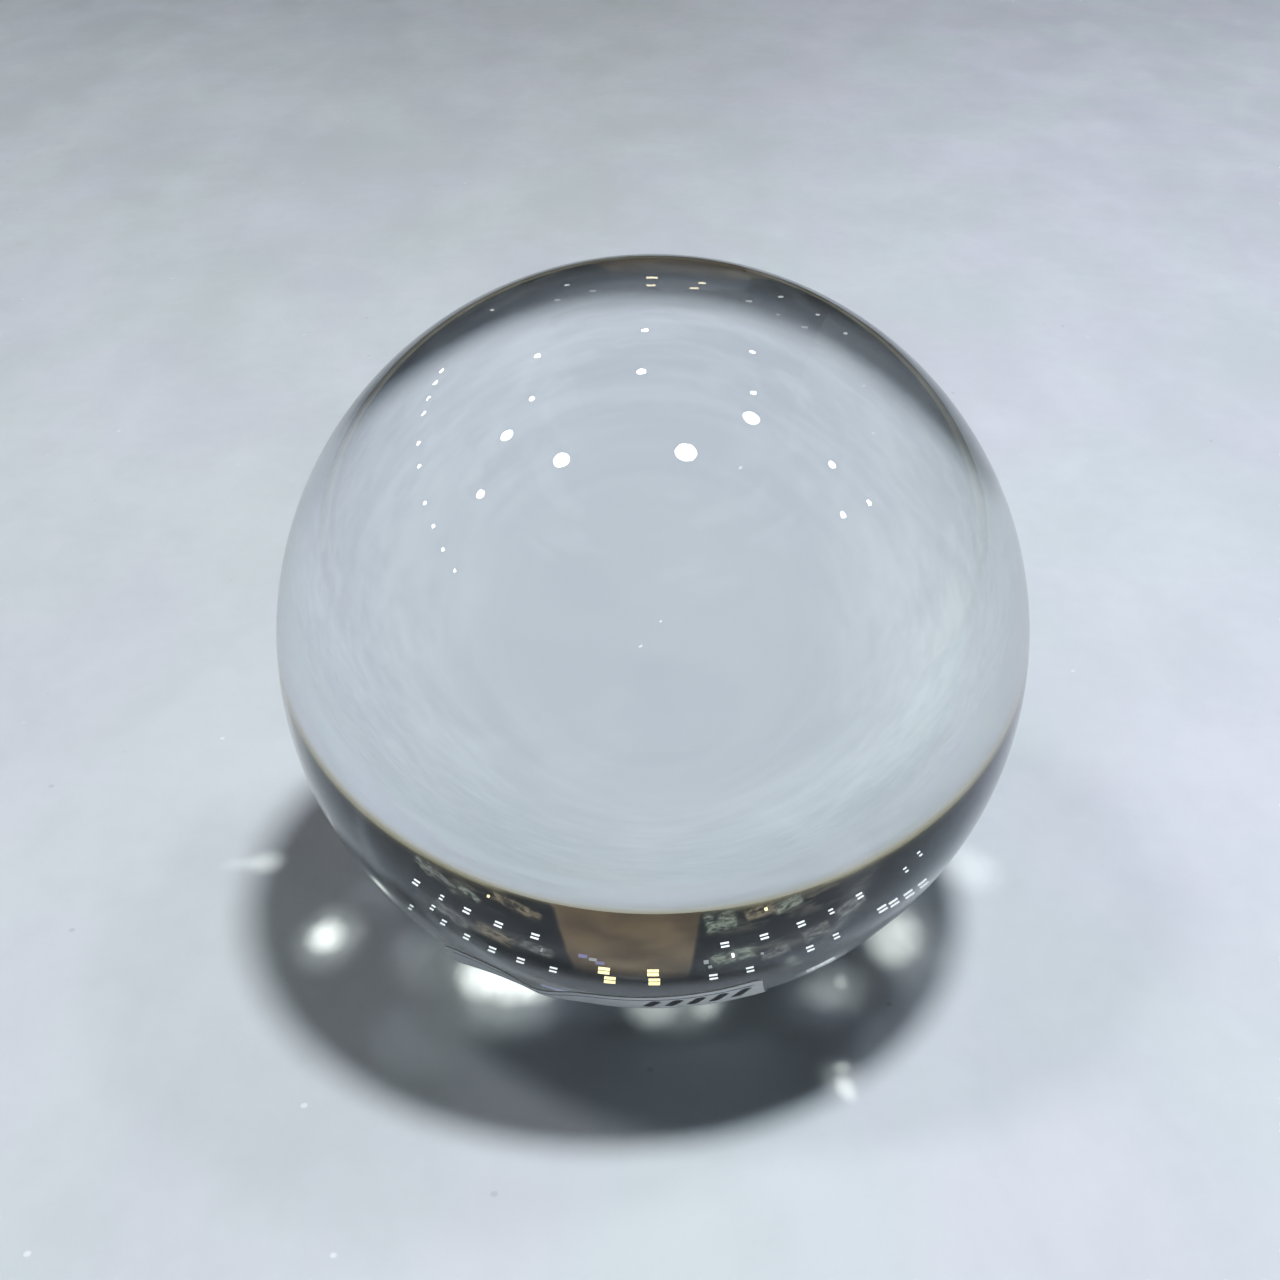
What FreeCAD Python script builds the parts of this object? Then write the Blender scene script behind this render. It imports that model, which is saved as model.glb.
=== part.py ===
import FreeCAD, Part
import math
import os

import Sketcher

# Solid clear glass ball with a small paper label stuck to its lower front.
# Millimetres, +Z up, -Y to the front, origin at the centre of the ball.
# The label is a thin rounded rectangle that follows the sphere below its equator.

V = FreeCAD.Vector
Z_AXIS = V(0, 0, 1)

# Sketcher's numbers for the points of an edge and for the sketch's own references
START, END, CENTRE = 1, 2, 3
ORIGIN = (-1, START)
VERTICAL_AXIS = -2

# alias, value, meaning
DIMENSIONS = [
    ("BallRadius", 40.0, "radius of the polished sphere"),
    ("LabelLength", 32.0, "long side of the label, measured square to its normal"),
    ("LabelWidth", 19.0, "short side of the label, measured square to its normal"),
    ("LabelCorner", 1.0, "corner radius of the label"),
    ("LabelThickness", 0.12, "paper and its adhesive film together"),
    ("LabelReach", 36.0, "half angle of the shell the label is cut from, degrees"),
    ("LabelElevation", -48.7, "label centre above the equator, degrees (negative is below)"),
    ("LabelAzimuth", -9.5, "turn of the label centre from -Y about +Z, degrees"),
    ("LabelRoll", -1.0, "turn of the label about its own normal, degrees"),
]

doc = FreeCAD.newDocument("glass_ball")
sheet = doc.addObject("Spreadsheet::Sheet", "Dims")
for row, (alias, value, meaning) in enumerate(DIMENSIONS, start=1):
    sheet.set("A%d" % row, meaning)
    sheet.set("B%d" % row, "%g" % value)
    sheet.setAlias("B%d" % row, alias)
doc.recompute()


def dim(alias):
    return float(sheet.get(alias))


# ---------------------------------------------------------------- helpers
def new_body(name, label):
    body = doc.addObject("PartDesign::Body", name)
    body.Label = label
    return body


def sketch_on(body, name, role):
    """New sketch on the body's own origin plane of the given role."""
    plane = next(item for item in body.Origin.OriginFeatures if item.Role == role)
    sketch = body.newObject("Sketcher::SketchObject", name)
    sketch.AttachmentSupport = [(plane, "")]
    sketch.MapMode = "FlatFace"
    return sketch


def add_line(sketch, start, end, construction=False):
    return sketch.addGeometry(Part.LineSegment(V(*start), V(*end)), construction)


def add_arc(sketch, centre, radius, start_angle, end_angle):
    circle = Part.Circle(V(*centre), Z_AXIS, radius)
    return sketch.addGeometry(Part.ArcOfCircle(circle, start_angle, end_angle), False)


def constrain(sketch, *terms):
    return sketch.addConstraint(Sketcher.Constraint(*terms))


def drive(sketch, name, expression, *terms):
    """Add a named dimension that follows an expression."""
    sketch.renameConstraint(constrain(sketch, *terms), name)
    sketch.setExpression("Constraints." + name, expression)


def revolve(body, name, sketch):
    """Turn the sketch once about its vertical axis, the body's Z axis."""
    doc.recompute()
    turned = body.newObject("PartDesign::Revolution", name)
    turned.Profile = sketch
    turned.ReferenceAxis = (sketch, ["V_Axis"])
    turned.Angle = 360.0
    body.Tip = turned
    doc.recompute()


# ---------------------------------------------------------------- crystal_ball
def make_ball():
    """Half disc on the XZ plane, turned into a sphere."""
    body = new_body("CrystalBall", "crystal_ball")
    radius = dim("BallRadius")
    sketch = sketch_on(body, "BallProfile", "XZ_Plane")
    arc = add_arc(sketch, (0, 0), radius, -math.pi / 2, math.pi / 2)
    chord = add_line(sketch, (0, radius), (0, -radius))
    constrain(sketch, "Coincident", arc, CENTRE, *ORIGIN)
    constrain(sketch, "Coincident", arc, END, chord, START)
    constrain(sketch, "Coincident", chord, END, arc, START)
    constrain(sketch, "PointOnObject", arc, START, VERTICAL_AXIS)
    constrain(sketch, "PointOnObject", arc, END, VERTICAL_AXIS)
    drive(sketch, "ball_radius", "Dims.BallRadius", "Radius", arc, radius)
    revolve(body, "BallTurned", sketch)
    return body


# ---------------------------------------------------------------- price_label
def add_shell(body):
    """Spherical cap shell about local +Z, its inner face on the glass."""
    inner = dim("BallRadius")
    outer = inner + dim("LabelThickness")
    reach = math.radians(dim("LabelReach"))
    rim_angle = math.pi / 2 - reach
    inner_rim = (inner * math.sin(reach), inner * math.cos(reach))
    outer_rim = (outer * math.sin(reach), outer * math.cos(reach))

    sketch = sketch_on(body, "ShellProfile", "XZ_Plane")
    inner_arc = add_arc(sketch, (0, 0), inner, rim_angle, math.pi / 2)
    outer_arc = add_arc(sketch, (0, 0), outer, rim_angle, math.pi / 2)
    pole = add_line(sketch, (0, inner), (0, outer))
    rim = add_line(sketch, inner_rim, outer_rim)
    ray = add_line(sketch, (0, 0), inner_rim, construction=True)
    for terms in (
        ("Coincident", inner_arc, CENTRE, *ORIGIN),
        ("Coincident", outer_arc, CENTRE, *ORIGIN),
        ("Coincident", inner_arc, END, pole, START),
        ("Coincident", outer_arc, END, pole, END),
        ("Coincident", inner_arc, START, rim, START),
        ("Coincident", outer_arc, START, rim, END),
        ("PointOnObject", pole, START, VERTICAL_AXIS),
        ("PointOnObject", pole, END, VERTICAL_AXIS),
        ("Coincident", ray, START, *ORIGIN),
        ("Coincident", ray, END, rim, START),
        ("PointOnObject", rim, END, ray),
    ):
        constrain(sketch, *terms)
    drive(sketch, "inner_radius", "Dims.BallRadius", "Radius", inner_arc, inner)
    drive(sketch, "outer_radius", "Dims.BallRadius + Dims.LabelThickness",
          "Radius", outer_arc, outer)
    drive(sketch, "reach", "Dims.LabelReach * 1 deg",
          "Angle", ray, START, VERTICAL_AXIS, START, reach)
    revolve(body, "ShellTurned", sketch)


def draw_rounded_rectangle(sketch):
    """The label's outline, centred on the origin."""
    half_x = dim("LabelLength") / 2
    half_y = dim("LabelWidth") / 2
    radius = dim("LabelCorner")
    flat_x = half_x - radius
    flat_y = half_y - radius
    # Counterclockwise: bottom, right, top, left
    edges = [
        add_line(sketch, (-flat_x, -half_y), (flat_x, -half_y)),
        add_line(sketch, (half_x, -flat_y), (half_x, flat_y)),
        add_line(sketch, (flat_x, half_y), (-flat_x, half_y)),
        add_line(sketch, (-half_x, flat_y), (-half_x, -flat_y)),
    ]
    # Corner i joins edge i to the next one
    centres = [(flat_x, -flat_y), (flat_x, flat_y), (-flat_x, flat_y), (-flat_x, -flat_y)]
    corners = [
        add_arc(sketch, centre, radius, (i - 1) * math.pi / 2, i * math.pi / 2)
        for i, centre in enumerate(centres)
    ]
    for i, corner in enumerate(corners):
        constrain(sketch, "Tangent", edges[i], END, corner, START)
        constrain(sketch, "Tangent", corner, END, edges[(i + 1) % 4], START)
    bottom, right, top, left = edges
    constrain(sketch, "Horizontal", bottom)
    constrain(sketch, "Horizontal", top)
    constrain(sketch, "Vertical", right)
    constrain(sketch, "Vertical", left)
    for corner in corners[1:]:
        constrain(sketch, "Equal", corners[0], corner)
    constrain(sketch, "Symmetric", corners[0], CENTRE, corners[2], CENTRE, *ORIGIN)
    drive(sketch, "corner", "Dims.LabelCorner", "Radius", corners[0], radius)
    drive(sketch, "length", "Dims.LabelLength",
          "DistanceX", left, START, right, END, 2 * half_x)
    drive(sketch, "width", "Dims.LabelWidth",
          "DistanceY", bottom, START, top, END, 2 * half_y)


def draw_waste_square(sketch):
    """Outer limit of the waste; a half side of one ball radius clears the shell."""
    half = dim("BallRadius")
    points = [(-half, -half), (half, -half), (half, half), (-half, half)]
    sides = [add_line(sketch, points[i], points[(i + 1) % 4]) for i in range(4)]
    for i, side in enumerate(sides):
        constrain(sketch, "Coincident", side, END, sides[(i + 1) % 4], START)
        constrain(sketch, "Vertical" if i % 2 else "Horizontal", side)
    constrain(sketch, "Symmetric", sides[0], START, sides[1], END, *ORIGIN)
    for name, kind, side in (
        ("waste_x", "DistanceX", sides[0]),
        ("waste_y", "DistanceY", sides[1]),
    ):
        drive(sketch, name, "2 * Dims.BallRadius", kind, side, START, side, END, 2 * half)


def cut_outline(body):
    """Pocket away all of the shell outside the rounded rectangle."""
    sketch = sketch_on(body, "LabelOutline", "XY_Plane")
    draw_rounded_rectangle(sketch)
    draw_waste_square(sketch)
    doc.recompute()

    shell_volume = body.Shape.Volume
    cut = body.newObject("PartDesign::Pocket", "WasteRemoved")
    cut.Profile = sketch
    cut.Type = "Length"
    # Past the top of the shell by one more thickness and 1 mm
    cut.setExpression("Length", "Dims.BallRadius + 2 * Dims.LabelThickness + 1")
    cut.Reversed = True  # the shell lies on the +Z side of the sketch
    body.Tip = cut
    doc.recompute()
    # A pocket cut towards -Z would miss the shell without any error
    if body.Shape.Volume >= 0.75 * shell_volume:
        raise RuntimeError("the pocket around the label missed the shell")


def label_placement():
    """Local +Z to the outward normal, +X level to the right, +Y up the sphere."""
    elevation = math.radians(dim("LabelElevation"))
    azimuth = math.radians(dim("LabelAzimuth"))
    normal = V(
        math.sin(azimuth) * math.cos(elevation),
        -math.cos(azimuth) * math.cos(elevation),
        math.sin(elevation),
    )
    level = V(math.cos(azimuth), math.sin(azimuth), 0)
    facing = FreeCAD.Rotation(level, normal.cross(level), normal, "ZXY")
    roll = FreeCAD.Rotation(Z_AXIS, dim("LabelRoll"))
    return FreeCAD.Placement(V(0, 0, 0), facing.multiply(roll))


def make_label():
    """Built about local +Z from the ball's centre, then turned into place."""
    body = new_body("PriceLabel", "price_label")
    add_shell(body)
    cut_outline(body)
    body.Placement = label_placement()
    doc.recompute()
    return body


# ---------------------------------------------------------------- check and export
bodies = [make_ball(), make_label()]

failed = [item.Name for item in doc.Objects
          if "Invalid" in item.State or "Error" in item.State]
if failed:
    raise RuntimeError("failed objects: " + ", ".join(failed))

os.makedirs("parts", exist_ok=True)
for body in bodies:
    shape = body.Shape
    if shape.isNull() or not shape.isValid() or len(shape.Solids) != 1:
        raise RuntimeError("bad shape: " + body.Label)
    shape.exportStep(os.path.join("parts", body.Label + ".step"))
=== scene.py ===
"""A crystal ball with a paper price label, on a pale floor in a dim studio.

The ball's centre is the origin and +Z is up. The camera looks from -Y with +X to its right.
Lengths are metres unless a comment says otherwise; many are given in ball radii.
"""
import math

import bmesh
import bpy
from mathutils import Matrix, Vector


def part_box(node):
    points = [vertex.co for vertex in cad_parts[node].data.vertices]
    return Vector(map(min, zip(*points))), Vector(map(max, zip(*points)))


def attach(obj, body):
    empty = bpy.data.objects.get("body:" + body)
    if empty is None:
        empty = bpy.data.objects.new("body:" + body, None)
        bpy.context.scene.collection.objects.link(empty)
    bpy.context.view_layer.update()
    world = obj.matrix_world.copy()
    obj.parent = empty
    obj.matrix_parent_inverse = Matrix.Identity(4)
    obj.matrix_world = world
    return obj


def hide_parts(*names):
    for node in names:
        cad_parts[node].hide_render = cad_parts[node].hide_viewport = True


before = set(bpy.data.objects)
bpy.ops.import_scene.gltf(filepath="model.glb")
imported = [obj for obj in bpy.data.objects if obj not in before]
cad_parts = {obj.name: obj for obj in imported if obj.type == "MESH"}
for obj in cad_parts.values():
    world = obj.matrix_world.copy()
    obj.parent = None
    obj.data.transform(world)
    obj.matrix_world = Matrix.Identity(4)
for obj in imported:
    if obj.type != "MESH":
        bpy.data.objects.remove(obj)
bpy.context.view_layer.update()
scene = bpy.context.scene

# ---------------------------------------------------------------- driving sizes
MM = 0.001
RADIUS = max(high - low for low, high in zip(*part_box("crystal_ball"))) / 2
FLOOR_Z = -RADIUS
GLASS_IOR = 1.517


def label_axes():
    """The CAD label's axes out of the glass, along it and across it, then its length and width."""
    points = [vertex.co.copy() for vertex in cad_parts["price_label"].data.vertices]

    def extent(axis):
        spread = [point.dot(axis) for point in points]
        return (max(spread) + min(spread)) / 2, max(spread) - min(spread)

    out = (sum(points, Vector()) / len(points)).normalized()
    for _ in range(40):
        side = out.orthogonal().normalized()
        other = out.cross(side)
        best = None
        # a rectangle's own axes give the smallest bounding area
        for step in range(180):
            angle = math.pi * step / 180
            along = side * math.cos(angle) + other * math.sin(angle)
            across = out.cross(along)
            mid_along, length = extent(along)
            mid_across, width = extent(across)
            if best is None or length * width < best[0]:
                best = (length * width, along, across, mid_along, mid_across, length, width)
        _, along, across, mid_along, mid_across, length, width = best
        out = (out + (along * mid_along + across * mid_across) / RADIUS).normalized()
        if abs(mid_along) + abs(mid_across) < 1e-6:
            break
    if width > length:
        along, length, width = across, width, length
    if along.x < 0:
        along = -along
    return out, along, out.cross(along), length, width


LABEL_OUT, LABEL_ALONG, LABEL_ACROSS, LABEL_LENGTH, LABEL_WIDTH = label_axes()
LABEL_THICKNESS = 0.12 * MM
LABEL_CORNER = 1.0 * MM
LABEL_UV_MM = 40.0        # the label's UV square is this many millimetres wide


# ---------------------------------------------------------------- helpers
def smoothstep(start, end, value):
    part = min(1.0, max(0.0, (value - start) / (end - start)))
    return part * part * (3 - 2 * part)


class Net:
    """Shorthands for building a node tree. A value may be a number, a tuple or a socket."""

    def __init__(self, tree):
        self.tree = tree
        self.x = -1600

    def add(self, kind, **settings):
        self.x += 40
        new = self.tree.nodes.new(kind)
        new.location = (self.x, (self.x * 7) % 500)
        for key, value in settings.items():
            setattr(new, key, value)
        return new

    def put(self, socket, value):
        if isinstance(value, bpy.types.NodeSocket):
            self.tree.links.new(value, socket)
        else:
            socket.default_value = (*value, 1) if socket.type == "RGBA" else value

    def fill(self, target, values):
        for key, value in values.items():
            self.put(target.inputs[key], value)
        return target

    def math(self, operation, *values, clamp=False):
        new = self.add("ShaderNodeMath", operation=operation, use_clamp=clamp)
        return self.fill(new, dict(enumerate(values))).outputs[0]

    def times(self, one, two):
        return self.math("MULTIPLY", one, two)

    def plus(self, one, two):
        return self.math("ADD", one, two)

    def minus(self, one, two, clamp=False):
        return self.math("SUBTRACT", one, two, clamp=clamp)

    def most(self, one, two):
        return self.math("MAXIMUM", one, two)

    def size(self, value):
        return self.math("ABSOLUTE", value)

    def vector(self, operation, *values):
        new = self.add("ShaderNodeVectorMath", operation=operation)
        self.fill(new, dict(enumerate(values)))
        return new.outputs["Value" if operation in ("LENGTH", "DISTANCE") else "Vector"]

    def separate(self, vector):
        return self.fill(self.add("ShaderNodeSeparateXYZ"), {"Vector": vector}).outputs

    def smooth(self, value, span, to=(0.0, 1.0)):
        """An eased ramp: `to` holds the results at the two ends of `span`."""
        new = self.add("ShaderNodeMapRange", interpolation_type="SMOOTHSTEP")
        return self.fill(new, {"Value": value, "From Min": span[0], "From Max": span[1],
                               "To Min": to[0], "To Max": to[1]}).outputs["Result"]

    def band(self, value, rise, fall):
        """0, then 1 from the end of `rise` to the start of `fall`, then 0 again."""
        return self.times(self.smooth(value, rise), self.minus(1.0, self.smooth(value, fall)))

    def noise(self, vector, scale, detail=3.0, rough=0.5, warp=0.0, output="Fac"):
        return self.fill(self.add("ShaderNodeTexNoise"), {
            "Vector": vector, "Scale": scale, "Detail": detail, "Roughness": rough,
            "Distortion": warp}).outputs[output]

    def cells(self, vector, scale):
        """Scattered points: the distance to the nearest, and its random X, Y and Z."""
        new = self.fill(self.add("ShaderNodeTexVoronoi"), {"Vector": vector, "Scale": scale})
        return new.outputs["Distance"], self.separate(new.outputs["Color"])

    def mix(self, amount, one, two, blend="MIX"):
        new = self.add("ShaderNodeMix", data_type="RGBA", blend_type=blend)
        return self.fill(new, {0: amount, 6: one, 7: two}).outputs[2]

    def tint(self, base, colour):
        return self.mix(1.0, base, colour, "MULTIPLY")

    def tint_part(self, amount, base, colour):
        return self.mix(amount, base, self.tint(base, colour))

    def stretch(self, vector, factors):
        new = self.add("ShaderNodeMapping")
        return self.fill(new, {"Vector": vector, "Scale": factors}).outputs["Vector"]


def start_net(tree, output, shader):
    """Clear a node tree and give it an output fed by a shader."""
    tree.nodes.clear()
    net = Net(tree)
    end = net.add(output)
    end.location = (900, 0)
    source = net.add(shader)
    source.location = (600, 0)
    net.put(end.inputs[0], source.outputs[0])
    return net, source


def new_material(name, shader="ShaderNodeBsdfPrincipled"):
    material = bpy.data.materials.new(name)
    material.use_nodes = True
    return material, *start_net(material.node_tree, "ShaderNodeOutputMaterial", shader)


def add_object(name, data):
    thing = bpy.data.objects.new(name, data)
    scene.collection.objects.link(thing)
    return thing


def mesh_object(mesh, name, materials, smooth=True):
    data = bpy.data.meshes.new(name)
    mesh.normal_update()
    mesh.to_mesh(data)
    mesh.free()
    for polygon in data.polygons:
        polygon.use_smooth = smooth
    for material in materials:
        data.materials.append(material)
    return add_object(name, data)


# ---------------------------------------------------------------- the ball
def glass_material():
    """Polished, faintly cool crystal with the wipe marks, smudges and dust of handling."""
    material, net, shader = new_material("clear_glass")
    coords = net.add("ShaderNodeTexCoord").outputs["Object"]
    place = net.stretch(coords, (1 / RADIUS,) * 3)      # in ball radii
    # long thin wipe marks that curve round the ball
    wobble = net.noise(place, scale=1.3, detail=2.0, output="Color")
    bent = net.vector("MULTIPLY_ADD", wobble, (0.8, 0.8, 0.8), place)
    strokes = net.noise(net.stretch(bent, (2.2, 2.6, 34.0)), scale=1.0, detail=4.0, rough=0.62)
    patch = net.noise(place, scale=1.7, detail=2.0)
    wipe = net.times(net.smooth(strokes, span=(0.56, 0.74)), net.smooth(patch, span=(0.46, 0.62)))
    # a few finger smudges: fine ridges inside soft blots
    blot = net.noise(place, scale=3.1, detail=1.0, rough=0.4)
    ridge = net.fill(net.add("ShaderNodeTexWave", wave_type="RINGS"), {
        "Vector": place, "Scale": 16.0, "Distortion": 5.0, "Detail": 1.0}).outputs["Fac"]
    smudge = net.times(net.smooth(blot, span=(0.66, 0.74)),
                       net.smooth(ridge, span=(0.35, 0.65), to=(0.4, 1.0)))
    # specks of dust, in one cell out of ten
    distance, chance = net.cells(place, scale=13.0)
    speck = net.minus(1.0, net.smooth(distance, span=(0.018, 0.032)))
    speck = net.times(speck, net.smooth(chance["X"], span=(0.90, 0.91)))
    # how rough each kind of mark makes the polish
    rough = net.times(wipe, 0.016)
    rough = net.most(rough, net.times(smudge, 0.030))
    rough = net.most(rough, net.times(speck, 0.35))
    net.fill(shader, {"Base Color": (0.868, 0.905, 0.915), "Transmission Weight": 1.0,
                      "IOR": GLASS_IOR, "Roughness": rough})
    return material


def build_ball(material, cuts=96):
    """A sphere of nearly square faces: a cube's faces cut in equal angles and pushed out."""
    mesh = bmesh.new()
    corners = {}

    def corner(face, i, j):
        u = math.tan((i / cuts - 0.5) * math.pi / 2)
        v = math.tan((j / cuts - 0.5) * math.pi / 2)
        cube = ((1, u, v), (-1, -u, v), (-u, 1, v), (u, -1, v), (-v, u, 1), (v, u, -1))
        place = Vector(cube[face]).normalized() * RADIUS
        key = tuple(round(value * 1e7) for value in place)
        if key not in corners:
            corners[key] = mesh.verts.new(place)
        return corners[key]

    for face in range(6):
        for i in range(cuts):
            for j in range(cuts):
                mesh.faces.new((corner(face, i, j), corner(face, i + 1, j),
                                corner(face, i + 1, j + 1), corner(face, i, j + 1)))
    bmesh.ops.recalc_face_normals(mesh, faces=mesh.faces)
    return mesh_object(mesh, "crystal_ball_glass", [material])


ball = build_ball(glass_material())
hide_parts("crystal_ball")
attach(ball, "root")


# ---------------------------------------------------------------- the label
TICKS_X = (4.6, 6.8, 9.0, 11.2, 13.4)     # feet of the pen ticks, mm from the label's middle
TICK_Y, TICK_LEAN, TICK_HEIGHT, TICK_WIDTH = 5.0, 1.0, 2.4, 0.56      # mm


def pen_tick(net, x, y, foot_x):
    """A slanted pen stroke: 1 on it, 0 off it."""
    from_x, from_y = net.minus(x, foot_x), net.minus(y, TICK_Y)
    dot = net.plus(net.times(from_x, TICK_LEAN), net.times(from_y, TICK_HEIGHT))
    part = net.math("DIVIDE", dot, TICK_LEAN ** 2 + TICK_HEIGHT ** 2, clamp=True)
    off_x = net.minus(from_x, net.times(part, TICK_LEAN))
    off_y = net.minus(from_y, net.times(part, TICK_HEIGHT))
    distance = net.math("SQRT", net.plus(net.times(off_x, off_x), net.times(off_y, off_y)))
    return net.minus(1.0, net.smooth(distance, span=(TICK_WIDTH * 0.6, TICK_WIDTH * 1.25)))


def pen_wave(net, x, y):
    """A wavy pen line of changing height, below the ticks."""
    turn = 1.55           # radians per mm
    swell = net.times(net.math("SINE", net.times(x, 0.37)), 0.5)
    wave = net.times(net.math("SINE", net.times(x, turn)), net.plus(1.1, swell))
    distance = net.size(net.minus(net.minus(y, -1.2), wave))
    # the steep parts are kept as thin as the crests
    steep = net.times(net.size(net.math("COSINE", net.times(x, turn))), 1.0)
    distance = net.math("DIVIDE", distance, net.plus(1.0, steep))
    line = net.minus(1.0, net.smooth(distance, span=(0.15, 0.32)))
    return net.times(line, net.band(x, rise=(-8.2, -8.0), fall=(12.0, 12.2)))


def paper_face_material():
    """Paper with a printed rule along each long edge and pen marks."""
    material, net, shader = new_material("label_paper_face")
    flat = net.separate(net.add("ShaderNodeUVMap", uv_map="flat").outputs["UV"])
    # millimetres from the middle of the label
    x = net.times(net.minus(flat["X"], 0.5), LABEL_UV_MM)
    y = net.times(net.minus(flat["Y"], 0.5), LABEL_UV_MM)
    place = net.fill(net.add("ShaderNodeCombineXYZ"), {"X": x, "Y": y}).outputs["Vector"]
    half_length, half_width = LABEL_LENGTH / MM / 2, LABEL_WIDTH / MM / 2
    # the printed rules
    distance = net.size(net.minus(net.size(y), half_width - 1.15))
    gaps = net.noise(place, scale=3.0, detail=2.0)
    rule = net.minus(1.0, net.smooth(distance, span=(0.10, 0.18)))
    ends = net.smooth(net.size(x), span=(half_length - 0.6, half_length - 1.1))
    rule = net.times(rule, net.times(net.smooth(gaps, span=(0.28, 0.42)), ends))
    # the pen marks, with skips in the ink
    ink = pen_tick(net, x, y, TICKS_X[0])
    for foot_x in TICKS_X[1:]:
        ink = net.most(ink, pen_tick(net, x, y, foot_x))
    ink = net.most(ink, pen_wave(net, x, y))
    ink = net.times(ink, net.smooth(net.noise(place, scale=9.0), span=(0.30, 0.45)))
    # the paper's faint cloud and fibres
    cloud = net.noise(place, scale=0.35)
    fibre = net.noise(net.stretch(place, (5.0, 1.6, 1.0)),
                      scale=3.0, detail=5.0, rough=0.6, warp=0.6)
    base = net.mix(net.smooth(cloud, span=(0.3, 0.7)),
                   (0.585, 0.585, 0.575), (0.65, 0.65, 0.64))
    base = net.mix(net.smooth(fibre, span=(0.55, 0.75), to=(0.0, 0.25)),
                   base, (0.45, 0.445, 0.42))
    # painted shade: the loose left end is painted greyer, for the shade it hangs in
    painted_end_shade = net.smooth(x, span=(8.0, -7.0), to=(0.0, 0.50))
    base = net.tint_part(painted_end_shade, base, (0.52, 0.53, 0.56))
    base = net.mix(net.times(rule, 0.88), base, (0.05, 0.055, 0.08))
    base = net.mix(net.times(ink, 0.97), base, (0.006, 0.006, 0.010))
    rough = net.smooth(fibre, span=(0.3, 0.7), to=(0.62, 0.85))
    bump = net.fill(net.add("ShaderNodeBump"), {
        "Strength": 0.35, "Distance": 0.04 * MM, "Height": fibre}).outputs["Normal"]
    net.fill(shader, {"Base Color": base, "Roughness": net.minus(rough, net.times(ink, 0.3)),
                      "Normal": bump, "Sheen Weight": 0.1})
    return material


def paper_back_material():
    """The adhesive back: pale, clouded and spotted."""
    material, net, shader = new_material("label_paper_back")
    flat = net.add("ShaderNodeUVMap", uv_map="flat").outputs["UV"]
    place = net.stretch(flat, (LABEL_UV_MM, LABEL_UV_MM, 1.0))
    cloud = net.noise(place, scale=0.5, detail=4.0)
    spots = net.noise(place, scale=3.5, detail=4.0, rough=0.6)
    base = net.mix(net.smooth(cloud, span=(0.3, 0.7)), (0.66, 0.66, 0.63), (0.76, 0.76, 0.74))
    base = net.mix(net.smooth(spots, span=(0.55, 0.7), to=(0.0, 0.4)), base, (0.55, 0.55, 0.52))
    net.fill(shader, {"Base Color": base,
                      "Roughness": net.smooth(spots, span=(0.3, 0.7), to=(0.25, 0.6))})
    return material


def label_lift(x, y):
    """How far the sheet's inner face stands off the glass; all in mm from its middle."""
    half_length, half_width = LABEL_LENGTH / MM / 2, LABEL_WIDTH / MM / 2
    # the left end has let go and stands straight out, its lower corner most
    loose = max(0.0, (4.5 - half_length - 0.22 * (y - half_width)) - x)
    lift = loose * loose / (2 * RADIUS / MM) * 1.5
    # a blister runs down from the top edge, where the flat sheet can't follow the ball
    blister = math.exp(-((x + 5.9 - 0.10 * (half_width - y)) / 2.7) ** 2)
    lift += 0.66 * blister * smoothstep(-1.0, half_width, y)
    # small puckers along the bottom edge: height, middle, half-width and where each starts
    for height, middle, spread, start in ((0.30, 3.4, 1.1, 0.55), (0.22, -8.6, 1.0, 0.6)):
        pucker = math.exp(-((x - middle) / spread) ** 2)
        lift += height * pucker * smoothstep(start, 1.0, -y / half_width)
    # both ends ripple a little
    ends = smoothstep(0.80, 1.0, abs(x) / half_length)
    lift += 0.05 * ends * (0.5 + 0.5 * math.sin(y * 1.7 + 0.7))
    return lift - 0.012       # the adhesive wets the glass: the inner face is just inside it


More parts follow.
